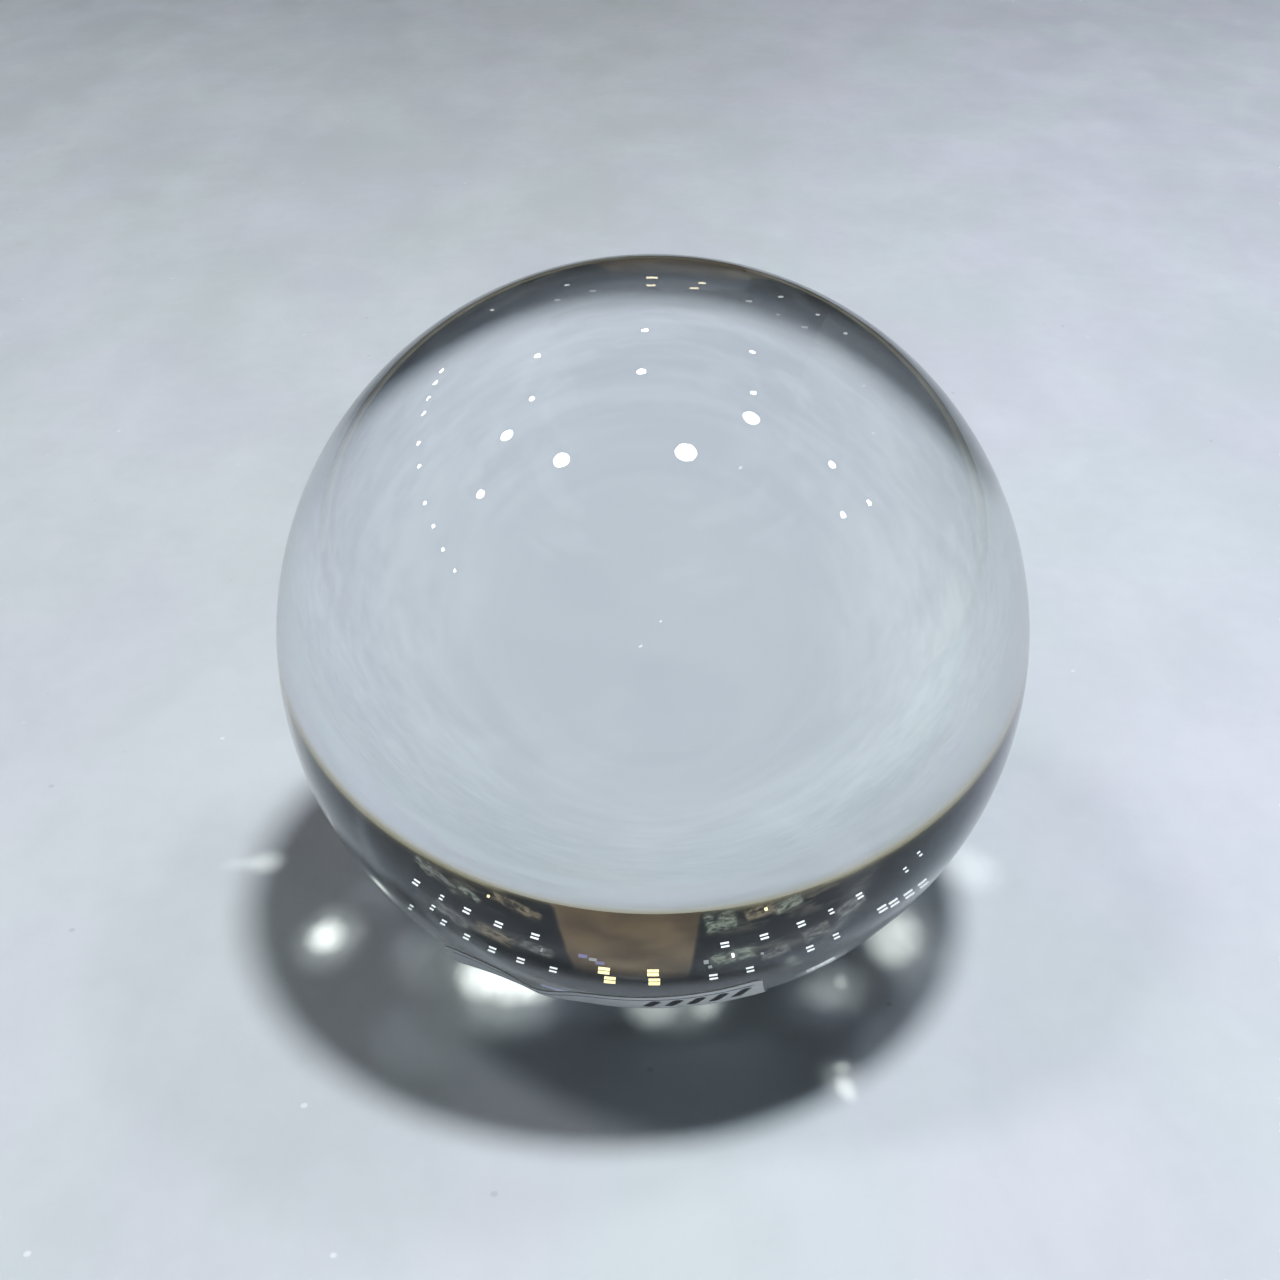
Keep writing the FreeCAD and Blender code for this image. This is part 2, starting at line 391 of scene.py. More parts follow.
def build_label(materials):
    half_length, half_width, radius = LABEL_LENGTH / 2, LABEL_WIDTH / 2, LABEL_CORNER
    middle_steps, corner_steps, rows = 120, 8, 84
    insets = [radius * (1 - math.cos(k / corner_steps * math.pi / 2))
              for k in range(corner_steps)]
    columns = [-half_length + inset for inset in insets]
    columns += [-half_length + radius + (2 * half_length - 2 * radius) * k / middle_steps
                for k in range(middle_steps + 1)]
    columns += [half_length - inset for inset in reversed(insets)]
    mesh = bmesh.new()
    uv_layer = mesh.loops.layers.uv.new("flat")

    def place(x, y, extra):
        """A point of the label on the ball, `extra` above the sheet's inner face."""
        depth = math.sqrt(max(0.0, RADIUS * RADIUS - x * x - y * y))
        ray = (LABEL_ALONG * x + LABEL_ACROSS * y + LABEL_OUT * depth).normalized()
        return ray * (RADIUS + label_lift(x / MM, y / MM) * MM + extra)

    outer, inner, flat = [], [], []
    for x in columns:
        # the column's half-height, less in the rounded corners
        past = abs(x) - (half_length - radius)
        reach = half_width
        if past > 0:
            reach = half_width - radius + math.sqrt(max(0.0, radius * radius - past * past))
        for sheet in (outer, inner, flat):
            sheet.append([])
        for j in range(rows + 1):
            y = reach * (2 * j / rows - 1)
            outer[-1].append(mesh.verts.new(place(x, y, LABEL_THICKNESS)))
            inner[-1].append(mesh.verts.new(place(x, y, 0.0)))
            flat[-1].append((x, y))

    def add_face(corners, material):
        """Add a face; each corner is a sheet, a column and a row."""
        face = mesh.faces.new([sheet[i][j] for sheet, i, j in corners])
        face.material_index = material
        for loop, (_, i, j) in zip(face.loops, corners):
            loop[uv_layer].uv = [value / (LABEL_UV_MM * MM) + 0.5 for value in flat[i][j]]

    last = len(columns) - 1
    for i in range(last):
        for j in range(rows):
            cell = ((i, j), (i + 1, j), (i + 1, j + 1), (i, j + 1))
            add_face([(outer, *corner) for corner in cell], 0)
            add_face([(inner, *corner) for corner in reversed(cell)], 1)
    rim = [(i, 0) for i in range(last)] + [(last, j) for j in range(rows)]
    rim += [(i, rows) for i in range(last, 0, -1)] + [(0, j) for j in range(rows, 0, -1)]
    for here, there in zip(rim, rim[1:] + rim[:1]):
        add_face([(outer, *here), (inner, *here), (inner, *there), (outer, *there)], 1)
    bmesh.ops.recalc_face_normals(mesh, faces=mesh.faces)
    # the cut edge stays crisp
    for edge in mesh.edges:
        if len(edge.link_faces) == 2 and edge.calc_face_angle(0) > math.radians(40):
            edge.smooth = False
    return mesh_object(mesh, "price_label_paper", materials)


label = build_label([paper_face_material(), paper_back_material()])
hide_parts("price_label")
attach(label, "root")

# ---------------------------------------------------------------- the floor
SPOTS = (  # x, y, half-widths (ball radii), turn (degrees), where the flat middle ends, brightness
    (-0.965, -0.09, 0.076, 0.106, 0, 0.0, 0.86), (-0.925, -0.090, 0.090, 0.085, 0, 0.0, 0.07),
    (-0.955, -0.10, 0.135, 0.20, 0, 0.0, 0.25), (-0.480, -0.250, 0.105, 0.145, 0, 0.15, 0.80),
    (-0.395, -0.270, 0.112, 0.145, 0, 0.15, 0.95), (-0.325, -0.285, 0.095, 0.115, 0, 0.10, 0.66),
    (-0.43, -0.33, 0.25, 0.26, 12, 0.0, 0.24), (-0.60, -0.19, 0.20, 0.22, 0, 0.0, 0.13),
    (0.00, -0.385, 0.095, 0.125, 0, 0.10, 0.20), (0.155, -0.375, 0.065, 0.09, 0, 0.0, 0.26),
    (0.07, -0.36, 0.21, 0.19, 0, 0.0, 0.19), (0.537, -0.30, 0.140, 0.160, 0, 0.1, 0.14),
    (0.545, -0.275, 0.030, 0.045, 0, 0.1, 0.16), (0.47, -0.33, 0.12, 0.10, 0, 0.0, 0.06),
    (0.722, -0.08, 0.105, 0.175, -14, 0.20, 0.46), (0.735, -0.06, 0.055, 0.08, -14, 0.0, 0.16),
    (0.73, -0.10, 0.18, 0.25, -14, 0.0, 0.13), (0.99, 0.25, 0.14, 0.18, 20, 0.1, 0.20),
    (0.521, -0.695, 0.040, 0.062, 14, 0.1, 0.36), (0.51, -0.66, 0.085, 0.10, 0, 0.0, 0.16),
    (-1.215, 0.262, 0.085, 0.080, 14, 0.0, 0.30), (-1.29, 0.255, 0.10, 0.05, 8, 0.0, 0.12),
    (0.43, 0.15, 0.11, 0.11, 0, 0.3, 0.9), (0.42, 0.14, 0.25, 0.22, 0, 0.0, 0.25),
    (-0.42, -0.11, 0.09, 0.09, 0, 0.2, 0.5), (0.515, -0.625, 0.036, 0.034, 0, 0.1, 0.2),
)


def light_spots(net, coords):
    """The spots of light that the ball throws from the small lamps.

    They are too small a share of the light to be found by sampling, so they are drawn.
    """
    warp = net.noise(coords, scale=170.0, output="Color")
    shift = net.add("ShaderNodeVectorMath", operation="SCALE")
    net.fill(shift, {0: net.vector("SUBTRACT", warp, (0.5, 0.5, 0.5)), "Scale": 0.035 * RADIUS})
    moved = net.vector("ADD", coords, shift.outputs[0])
    total = None
    for x, y, half_x, half_y, turn, middle, brightness in SPOTS:
        local = net.fill(net.add("ShaderNodeMapping", vector_type="TEXTURE"), {
            "Vector": moved, "Location": (x * RADIUS, y * RADIUS, FLOOR_Z),
            "Rotation": (0, 0, math.radians(turn)),
            "Scale": (half_x * RADIUS, half_y * RADIUS, 1000.0)}).outputs[0]
        spot = net.smooth(net.vector("LENGTH", local), span=(1.0, middle), to=(0.0, brightness))
        total = spot if total is None else net.plus(total, spot)
    blotch = net.noise(net.stretch(coords, (1.0, 0.5, 1.0)), scale=210.0, rough=0.6)
    return net.times(total, net.smooth(blotch, span=(0.32, 0.62), to=(0.80, 1.06)))


def floor_material():
    material, net, shader = new_material("pale_floor")
    coords = net.add("ShaderNodeTexCoord").outputs["Object"]
    place = net.separate(coords)
    reach = net.vector("LENGTH", coords)      # distance from the ball's centre
    rays = net.add("ShaderNodeLightPath").outputs
    lens = rays["Is Transmission Ray"]        # 1 where the floor is seen through the glass

    def radii(value, span, to=(0.0, 1.0)):
        """An eased ramp over a distance in ball radii."""
        return net.smooth(value, (span[0] * RADIUS, span[1] * RADIUS), to)

    # cloudy patches of four sizes, the larger ones drawn out in depth
    deep = net.stretch(coords, (1.0, 0.55, 1.0))
    big = net.noise(deep, scale=5.0, detail=4.0, warp=0.5)
    mid = net.noise(deep, scale=36.0, detail=4.0, rough=0.55, warp=0.3)
    patch = net.noise(deep, scale=92.0, rough=0.55, warp=0.4)
    small = net.noise(coords, scale=230.0, rough=0.6)
    hue = net.noise(deep, scale=27.0, warp=0.2)
    finer = net.plus(net.times(patch, 0.24), net.times(small, 0.14))
    cloud = net.plus(net.times(big, 0.32), net.plus(net.times(mid, 0.30), finer))
    base = net.mix(net.smooth(cloud, span=(0.38, 0.62)),
                   (0.654, 0.693, 0.746), (0.712, 0.750, 0.808))
    base = net.tint(base, net.mix(net.smooth(hue, span=(0.36, 0.64)),
                                  (0.984, 1.006, 0.982), (1.010, 0.992, 1.006)))
    # the wash of light is stronger to the right and far off, and greener to the left
    wash = net.mix(radii(place["X"], span=(-1.0, 3.0)),
                   (0.975, 0.990, 0.974), (1.100, 1.110, 1.142))
    sides = net.plus(radii(place["X"], span=(-1, -6), to=(0.0, 0.08)),
                     radii(place["X"], span=(1, 6), to=(0.0, 0.20)))
    far = net.plus(radii(place["Y"], span=(0.5, 6), to=(0.0, 0.055)),
                   net.times(radii(place["Y"], span=(4, 13)), sides))
    gain = net.plus(far, 1.0)
    gain = net.fill(net.add("ShaderNodeCombineXYZ"), {0: gain, 1: gain, 2: gain}).outputs[0]
    base = net.tint(net.tint(base, wash), gain)
    # through the glass the distance looks creamier, and so does the edge of the shadow
    # behind the ball, where the glass spreads the colours
    cream = radii(reach, span=(5.5, 14.0), to=(0.0, 0.95))
    base = net.mix(net.times(cream, lens), base, (0.84, 0.80, 0.62))
    fringe = net.times(radii(reach, span=(1.12, 1.26)), radii(reach, span=(1.50, 1.32)))
    base = net.tint_part(net.times(fringe, lens), base, (0.905, 0.88, 0.81))
    # fine cloudiness right behind the ball, which the ball magnifies
    beside = radii(net.size(place["X"]), span=(1.45, 1.0))
    behind = net.times(
        net.times(beside, radii(reach, span=(1.35, 1.5))),
        net.times(radii(reach, span=(4.0, 2.6)), radii(place["Y"], span=(0.9, 1.4))))
    soft = net.noise(net.stretch(coords, (1.0, 0.6, 1.0)),
                     scale=240.0, detail=4.0, rough=0.6, warp=0.6)
    sharp = net.noise(coords, scale=640.0, rough=0.6)
    fine = net.plus(net.times(soft, 0.5), net.times(sharp, 0.5))
    base = net.tint_part(behind, base, net.mix(net.smooth(fine, span=(0.36, 0.64)),
                                               (0.945, 0.948, 0.955), (1.060, 1.058, 1.050)))
    # a paler place behind the ball, a little to the left
    pale = net.vector("DISTANCE", coords, (-0.30 * RADIUS, 1.92 * RADIUS, FLOOR_Z))
    base = net.tint_part(radii(pale, span=(0.42, 0.05)), base, (1.14, 1.13, 1.12))
    # mirrored in the glass the floor is a little duller
    mirror = net.minus(rays["Is Glossy Ray"], lens, clamp=True)
    base = net.tint_part(mirror, base, (0.87, 0.87, 0.87))
    # dark dust, and pale specks painted as tiny glints; then fine scratches
    distance, chance = net.cells(net.stretch(coords, (1.0, 1.0, 0.0)), scale=260.0)
    dot = net.minus(1.0, net.smooth(distance, span=(0.06, 0.13)))
    dark = net.times(dot, net.smooth(chance["X"], span=(0.970, 0.972)))
    base = net.mix(net.times(dark, 0.35), base, (0.40, 0.42, 0.45))
    # painted glints: sparse bright specks in the floor's colour
    bright = net.times(dot, net.smooth(chance["Y"], span=(0.975, 0.977)))
    base = net.mix(net.times(bright, 0.8), base, (0.93, 0.96, 1.0))
    hair = net.noise(net.stretch(coords, (30.0, 400.0, 1.0)), scale=1.0, detail=2.0, warp=1.5)
    base = net.mix(net.times(net.smooth(hair, span=(0.76, 0.80)), 0.15),
                   base, (0.86, 0.90, 0.95))
    # the light on the floor right under the ball, seen only through the glass
    under = net.times(radii(reach, span=(1.198, 1.0), to=(0.0, 0.65)), lens)
    net.fill(shader, {
        "Base Color": base, "Roughness": net.smooth(mid, span=(0.3, 0.7), to=(0.42, 0.6)),
        "Specular IOR Level": 0.3, "Emission Color": (0.92, 1.0, 0.96),
        "Emission Strength": net.plus(light_spots(net, coords), under)})
    return material


def build_floor(segments=160, rings=(0.75, 1.5, 2.5, 5.0, 9.0, 13.0, 17.6)):
    """A flat round sheet; the rings are in ball radii."""
    mesh = bmesh.new()
    centre = mesh.verts.new((0, 0, FLOOR_Z))
    inside = None
    for ring in rings:
        radius = ring * RADIUS
        angles = [2 * math.pi * k / segments for k in range(segments)]
        edge = [mesh.verts.new((radius * math.cos(angle), radius * math.sin(angle), FLOOR_Z))
                for angle in angles]
        for k in range(segments):
            after = (k + 1) % segments
            if inside is None:
                mesh.faces.new((centre, edge[k], edge[after]))
            else:
                mesh.faces.new((inside[k], edge[k], edge[after], inside[after]))
        inside = edge
    return mesh_object(mesh, "studio_floor", [floor_material()], smooth=False)


floor = build_floor()

# ---------------------------------------------------------------- the camera
SENSOR, LENS = 36.0, 47.728125             # mm
BALL_RIGHT, BALL_UP = 0.34875, 0.253125    # the ball's centre from the sensor image's middle, mm
EYE = Vector((0.0, -3.9923, 2.3143)) * RADIUS


def view_rotation(pitch, yaw):
    return Matrix.Rotation(yaw, 3, "Z") @ Matrix.Rotation(math.pi / 2 - pitch, 3, "X")


def aim_camera():
    """The pitch and yaw that bring the ball's centre to its place in the view."""
    wanted = Vector((BALL_RIGHT / LENS, BALL_UP / LENS, -1.0)).normalized()
    pitch, yaw = math.radians(30.1), 0.0
    for _ in range(20):
        seen = view_rotation(pitch, yaw).transposed() @ (-EYE).normalized()
        yaw += wanted.x - seen.x
        pitch += wanted.y - seen.y
    return pitch, yaw


camera_data = bpy.data.cameras.new("camera")
camera_data.sensor_width = SENSOR
camera_data.lens = LENS
camera_data.clip_start, camera_data.clip_end = 0.002, 20.0
camera = add_object("camera", camera_data)
scene.camera = camera
camera.location = EYE
PITCH, YAW = aim_camera()
VIEW = view_rotation(PITCH, YAW)
camera.rotation_mode = "XYZ"
camera.rotation_euler = (math.pi / 2 - PITCH, 0.0, YAW)


# Places in the view are in millimetres at the sensor, to the right of and below the image
# of the ball's centre. The lamps seen in the glass are placed by following such lines of sight.
def sight(x, y):
    """Where a line of sight meets the ball, in ball radii, and its direction."""
    start = EYE / RADIUS
    ray = VIEW @ Vector(((BALL_RIGHT + x) / LENS, (BALL_UP - y) / LENS, -1.0))
    ray = ray.normalized()
    along = -start.dot(ray)
    near = along - math.sqrt(max(0.0, along * along - start.dot(start) + 1.0))
    return (start + ray * near).normalized(), ray


def mirrored(x, y):
    """The direction mirrored in the ball's front at a place in the view."""
    point, ray = sight(x, y)
    return (ray - point * (2 * ray.dot(point))).normalized()


def through(x, y):
    """The direction seen through the ball at a place in the view."""
    index = GLASS_IOR
    point, ray = sight(x, y)
    cosine = -ray.dot(point)
    bend = cosine / index - math.sqrt(1 - (1 - cosine * cosine) / (index * index))
    inside = ray / index + point * bend
    leave = point + inside * (-2 * point.dot(inside))
    cosine = inside.dot(leave)
    bend = index * cosine - math.sqrt(max(0.0, 1 - index * index * (1 - cosine * cosine)))
    return (inside * index - leave * bend).normalized()


# ---------------------------------------------------------------- the main lamps
LAMP_HEIGHT = 13.4        # above the ball's centre, in ball radii
FLOOR_LIGHT = 2.95        # irradiance on the floor from all the main lamps
MAIN_LAMPS = (  # name, x, y (ball radii), share of the floor's light, width (degrees), colour
    ("key", 1.89, -2.22, 0.745, 8.0, (0.975, 1.0, 1.035)),
    ("left", -5.68, -2.08, 0.128, 9.0, (1.03, 0.985, 0.975)),
    ("right", 5.64, 1.45, 0.090, 9.0, (0.985, 1.0, 1.02)),
)


def add_main_lamp(name, x, y, share, degrees, colour):
    place = Vector((x, y, LAMP_HEIGHT)) * RADIUS
    distance = place.length
    ray = place / distance
    data = bpy.data.lights.new("lamp_" + name, "AREA")
    data.shape = "DISK"
    data.size = width = 2 * distance * math.tan(math.radians(degrees) / 2)
    area = math.pi * width * width / 4
    # a disk of power P has radiance P / (pi * area), and lights the floor by
    # radiance * solid angle * sine of its elevation
    radiance = FLOOR_LIGHT * share / (area / (distance * distance) * ray.z)
    data.energy = radiance * math.pi * area
    data.color = colour
    data.cycles.is_caustics_light = name == "key"
    # an even wash over the whole floor: the strength does not drop with distance
    data.use_nodes = True
    net, emission = start_net(data.node_tree, "ShaderNodeOutputLight", "ShaderNodeEmission")
    falloff = net.add("ShaderNodeLightFalloff")
    net.fill(falloff, {"Strength": 1.0 / (distance * distance)})
    net.fill(emission, {"Strength": falloff.outputs["Constant"]})
    lamp = add_object("lamp_" + name, data)
    lamp.location = place
    lamp.rotation_mode = "QUATERNION"
    lamp.rotation_quaternion = ray.to_track_quat("Z", "Y")
    # its mirror image is one of the small discs below
    lamp.visible_glossy = False
    lamp.visible_transmission = False


for lamp_values in MAIN_LAMPS:
    add_main_lamp(*lamp_values)


# ---------------------------------------------------------------- lamps that show in the glass
def lamp_material(name, colour, strength):
    """A lamp that shows in the glass and is dark to light scattered off the floor."""
    material, net, shader = new_material(name, "ShaderNodeEmission")
    depth = net.add("ShaderNodeLightPath").outputs["Diffuse Depth"]
    direct = net.minus(1.0, depth, clamp=True)
    net.fill(shader, {"Color": colour, "Strength": net.times(direct, strength)})
    material.cycles.emission_sampling = "NONE"
    return material


def lamp_group(mesh, name, materials, seen_through):
    """Lamps seen only through the ball, or else only mirrored in it."""
    group = mesh_object(mesh, name, materials, smooth=False)
    group.visible_camera = False
    group.visible_diffuse = False
    group.visible_shadow = False
    group.visible_transmission = seen_through
    group.visible_glossy = not seen_through


BAR_DISTANCE, PATCH_DISTANCE = 5.0, 6.0


def turned(x, y, right, down, tilt):
    """The place (right, down) of (x, y) in axes turned clockwise by `tilt` degrees."""
    cosine, sine = math.cos(math.radians(tilt)), math.sin(math.radians(tilt))
    return x + cosine * right - sine * down, y + sine * right + cosine * down


def add_bar(mesh, look, x, y, length, thick, tilt, material, offset=0.0):
    """A far flat lamp that shows as a bar of that size at that place in the view."""
    corners = []
    for across, down in ((-1, -1), (1, -1), (1, 1), (-1, 1)):
        place = turned(x, y, across * length / 2, offset + down * thick / 2, tilt)
        corners.append(mesh.verts.new(look(*place) * BAR_DISTANCE))
    mesh.faces.new(corners).material_index = material


def rim_tilt(x, y, follow=0.8):
    """Degrees that turn a bar along the ball's rim; `follow` is how fully it turns."""
    return follow * math.degrees(math.atan2(-x, y))


def add_twin_bars(mesh, x, y, length, thick, material, offset):
    for side in (-1, 1):
        add_bar(mesh, through, x, y, length, thick, rim_tilt(x, y), material, side * offset)


TWIN_TUBES = (  # x, y in the view, relative size
    (-6.631875, 7.05375, 0.8), (-5.9175, 7.4728125, 0.5), (-5.2059375, 7.8440625, 0.9),
    (-4.3171875, 8.2265625, 1), (-3.290625, 8.555625, 1), (-6.789375, 7.7625, 0.5),
    (-6.1734375, 7.7625, 0.5), (-5.866875, 8.184375, 0.65), (-5.2228125, 8.5865625, 0.75),
    (-4.5028125, 8.94375, 0.9), (-3.7040625, 9.2503125, 0.95), (-2.784375, 9.50625, 0.9),
    (2.0334375, 8.7890625, 1), (3.1359375, 8.56125, 1), (4.1709375, 8.2125, 0.95),
    (5.0175, 7.8609375, 0.6), (1.715625, 9.7059375, 1), (2.745, 9.4978125, 0.9),
    (4.4325, 8.91, 0.9), (5.169375, 8.56125, 0.75), (5.81625, 7.425, 0.8),
    (7.5009375, 6.249375, 0.45), (7.1128125, 6.699375, 0.45), (6.4603125, 7.7990625, 1.2),
    (6.789375, 7.6303125, 1.2), (7.21125, 7.3884375, 1.25), (7.6134375, 7.0959375, 1.25),
)
TUBE_LENGTH, TUBE_THICK, TUBE_OFFSET = 0.241875, 0.0534375, 0.04921875      # at size 1
WARM_PAIRS = (  # x, y in the view
    (-1.36125, 9.52875), (-1.1953125, 9.7959375), (0.016875, 9.5878125), (0.0534375, 9.8465625),
)
GLINTS = (  # x, y in the view, length, thickness, material
    (-1.951875, 9.1125, 0.253125, 0.0984375, 2), (-1.670625, 9.2109375, 0.225, 0.084375, 3),
    (-1.47375, 9.309375, 0.253125, 0.084375, 2), (1.5075, 9.28125, 0.140625, 0.1125, 3),
    (1.62, 9.421875, 0.1125, 0.084375, 3), (3.1809375, 7.7821875, 0.09, 0.09, 1),
    (2.26125, 9.0928125, 0.0675, 0.1125, 4), (3.0825, 9.045, 0.084375, 0.0675, 3),
    (-4.595625, 7.425, 0.073125, 0.073125, 1), (-3.105, 8.94375, 0.05625, 0.1125, 3),
)
RIM_STREAKS = (  # distance from the ball's centre in the view, angles, thickness, material
    (10.501875, 67.5, 65.6, 0.045, 3), (10.5075, 65.6, 63.4, 0.0675, 5),
    (10.513125, 63.4, 60.8, 0.07875, 5), (10.51875, 60.8, 58.8, 0.05625, 3),
    (10.423125, 107.4, 105.2, 0.045, 6), (10.42875, 105.2, 102.4, 0.0675, 6),
    (10.42875, 102.4, 101.0, 0.039375, 3), (10.47375, 138.6, 136.8, 0.03375, 3),
    (10.479375, 136.8, 135.4, 0.03375, 3),
)
FAR_LOOKS = (  # name, colour, strength
    ("lamp_white", (0.96, 1.0, 1.02), 1.6), ("lamp_warm", (1.0, 0.84, 0.42), 2.4),
    ("glint_violet", (0.50, 0.46, 0.80), 0.55), ("glint_pale", (0.9, 0.95, 0.95), 0.45),
    ("glint_bright", (1.0, 1.0, 0.9), 4.0), ("streak_white", (0.88, 0.95, 1.0), 2.3),
    ("streak_violet", (0.66, 0.68, 1.0), 0.9),
)


def build_far_lamps():
    """Rows of twin tubes, glints and rim streaks, seen through the lower part of the ball."""
    mesh = bmesh.new()
    for x, y, size in TWIN_TUBES:
        add_twin_bars(mesh, x, y, TUBE_LENGTH * size, TUBE_THICK * (0.7 + 0.3 * size),
                      material=0, offset=size ** 0 * TUBE_OFFSET)
    for x, y in WARM_PAIRS:
        add_twin_bars(mesh, x, y, length=0.3234375, thick=0.084375, material=1,
                      offset=0.0534375)
    for x, y, length, thick, material in GLINTS:
        add_bar(mesh, through, x, y, length, thick, rim_tilt(x, y), material)
    for radius, start, end, thick, material in RIM_STREAKS:
        angle = math.radians((start + end) / 2)
        add_bar(mesh, through, radius * math.cos(angle), radius * math.sin(angle),
                radius * math.radians(abs(start - end)), thick, math.degrees(angle) - 90, material)
    lamp_group(mesh, "studio_far_lamps", [lamp_material(*look) for look in FAR_LOOKS],
               seen_through=True)


def wisp_material(name, colour, strength):
    """A faint glow with soft sides and broken by noise."""
    material, net, shader = new_material(name, "ShaderNodeMixShader")
    patch = net.separate(net.add("ShaderNodeUVMap", uv_map="patch").outputs["UV"])
    side_x = net.smooth(net.size(net.minus(patch["X"], 0.5)), span=(0.5, 0.36))
    side_y = net.smooth(net.size(net.minus(patch["Y"], 0.5)), span=(0.5, 0.22))
    place = net.add("ShaderNodeNewGeometry").outputs["Position"]
    gaps = net.noise(place, scale=8.0, detail=4.0, rough=0.7, warp=0.5)
    mottle = net.noise(place, scale=16.0, rough=0.6)
    mask = net.times(net.times(side_x, side_y),
                     net.smooth(gaps, span=(0.38, 0.58), to=(0.12, 1.0)))
    glow = net.fill(net.add("ShaderNodeEmission"), {
        "Color": colour,
        "Strength": net.smooth(mottle, span=(0.32, 0.62), to=(0.55 * strength, strength))})
    clear = net.add("ShaderNodeBsdfTransparent")
    net.fill(shader, {0: mask, 1: clear.outputs[0], 2: glow.outputs[0]})
    material.cycles.emission_sampling = "NONE"
    return material


ROOM_PATCHES = (  # x, y in the view, width, height, material
    (1.90125, 8.128125, 1.0125, 0.73125, 0), (3.02625, 7.846875, 1.0125, 0.45, 1),
    (3.81375, 7.65, 0.95625, 0.39375, 0), (2.266875, 9.1125, 1.51875, 0.45, 0),
    (4.60125, 8.4375, 0.95625, 0.45, 2), (3.448125, 9.0, 0.95625, 0.3375, 2),
    (5.5575, 7.70625, 1.125, 0.39375, 2), (-5.97375, 6.890625, 1.4625, 0.28125, 2),
    (-6.395625, 6.609375, 0.84375, 0.253125, 0), (-3.83625, 7.70625, 1.74375, 0.3375, 1),
    (-5.63625, 7.959375, 1.40625, 0.3375, 2), (-4.426875, 8.521875, 1.35, 0.365625, 1),
    (-3.245625, 8.915625, 1.125, 0.3375, 2), (-5.13, 7.36875, 0.84375, 0.225, 0),
)
ROOM_LOOKS = (  # name, colour, strength
    ("room_pale", (0.175, 0.190, 0.160), 1.5), ("room_warm", (0.185, 0.155, 0.112), 1.35),
    ("room_grey", (0.150, 0.148, 0.138), 1.3),
)


def build_room_shapes(columns=6, rows=3):
    """Soft, broken shapes of the dim room among the lamps."""
    mesh = bmesh.new()
    uv_layer = mesh.loops.layers.uv.new("patch")
    for x, y, width, height, material in ROOM_PATCHES:
        tilt = rim_tilt(x, y, follow=1.0)
        grid = [[mesh.verts.new(through(*turned(x, y, (i / columns - 0.5) * width,
                                                (j / rows - 0.5) * height, tilt))
                                * PATCH_DISTANCE)
                 for j in range(rows + 1)] for i in range(columns + 1)]
        for i in range(columns):
            for j in range(rows):
                cell = ((i, j), (i + 1, j), (i + 1, j + 1), (i, j + 1))
                face = mesh.faces.new([grid[column][row] for column, row in cell])
                face.material_index = material
                for loop, (column, row) in zip(face.loops, cell):
                    loop[uv_layer].uv = (column / columns, row / rows)
    lamp_group(mesh, "studio_room_shapes", [wisp_material(*look) for look in ROOM_LOOKS],
               seen_through=True)


MIRRORED_BARS = (  # x, y in the view, length, material
    (-0.016875, -9.9225, 0.309375, 1), (-0.039375, -9.703125, 0.253125, 1),
    (1.17, -9.6271875, 0.253125, 1), (1.395, -9.770625, 0.196875, 1),
    (-2.401875, -9.7171875, 0.140625, 0), (-1.67625, -9.55125, 0.16875, 0),
    (-2.66625, -9.2953125, 0.16875, 0), (-4.5, -9.016875, 0.1125, 0),
    (2.705625, -9.2615625, 0.16875, 0), (3.605625, -9.3853125, 0.140625, 0),
    (3.526875, -8.8846875, 0.1125, 0), (4.2721875, -8.5275, 0.16875, 0),
    (5.416875, -8.3615625, 0.1125, 0), (4.640625, -8.8846875, 0.1125, 0),
    (5.94, -6.8821875, 0.084375, 0), (6.1959375, -5.5490625, 0.084375, 0),
    (-0.3403125, 0.4275, 0.1125, 2), (0.2278125, -0.2728125, 0.0703125, 2),
    (2.46375, -4.584375, 0.0984375, 2),
)
MIRROR_LOOKS = (  # name, colour, strength
    ("mirror_white", (1.0, 1.0, 1.0), 2.0), ("mirror_warm", (1.0, 0.88, 0.60), 6.0),
    ("mirror_bright", (1.0, 1.0, 1.0), 11.0),
)


def build_mirrored_rows():
    """Short bars mirrored in the ball, most of them near its upper edge."""
    mesh = bmesh.new()
    for x, y, length, material in MIRRORED_BARS:
        add_bar(mesh, mirrored, x, y, length, thick=0.0478125,
                tilt=-0.25 * rim_tilt(x, -y), material=material)
    lamp_group(mesh, "studio_mirrored_rows", [lamp_material(*look) for look in MIRROR_LOOKS],
               seen_through=False)


SMALL_LAMPS = (  # x, y (ball radii), width seen from the ball (degrees)
    (1.91, -2.29, 5.4), (-5.68, -2.08, 4.25), (5.64, 1.45, 4.0), (-9.36, 1.76, 3.15),
    (-13.41, -2.04, 2.35), (-0.64, 4.09, 2.2), (-0.47, 9.20, 1.4), (-7.15, 4.02, 1.35),
    (-6.79, 8.98, 1.35), (16.59, -2.81, 1.65), (13.02, 1.12, 1.9), (19.95, 0.63, 1.4),
    (5.65, 3.79, 1.4), (5.62, 8.58, 1.2),
    # a row far to the left
    (-18.97, 23.08, 1.0), (-19.31, 20.62, 1.0), (-19.92, 17.90, 1.0), (-20.41, 15.23, 1.0),
    (-21.29, 10.65, 1.0), (-21.76, 7.14, 1.0), (-22.51, 1.92, 1.0), (-22.85, -1.60, 1.0),
    (-23.36, -5.22, 1.0), (-23.72, -8.90, 1.0),
)


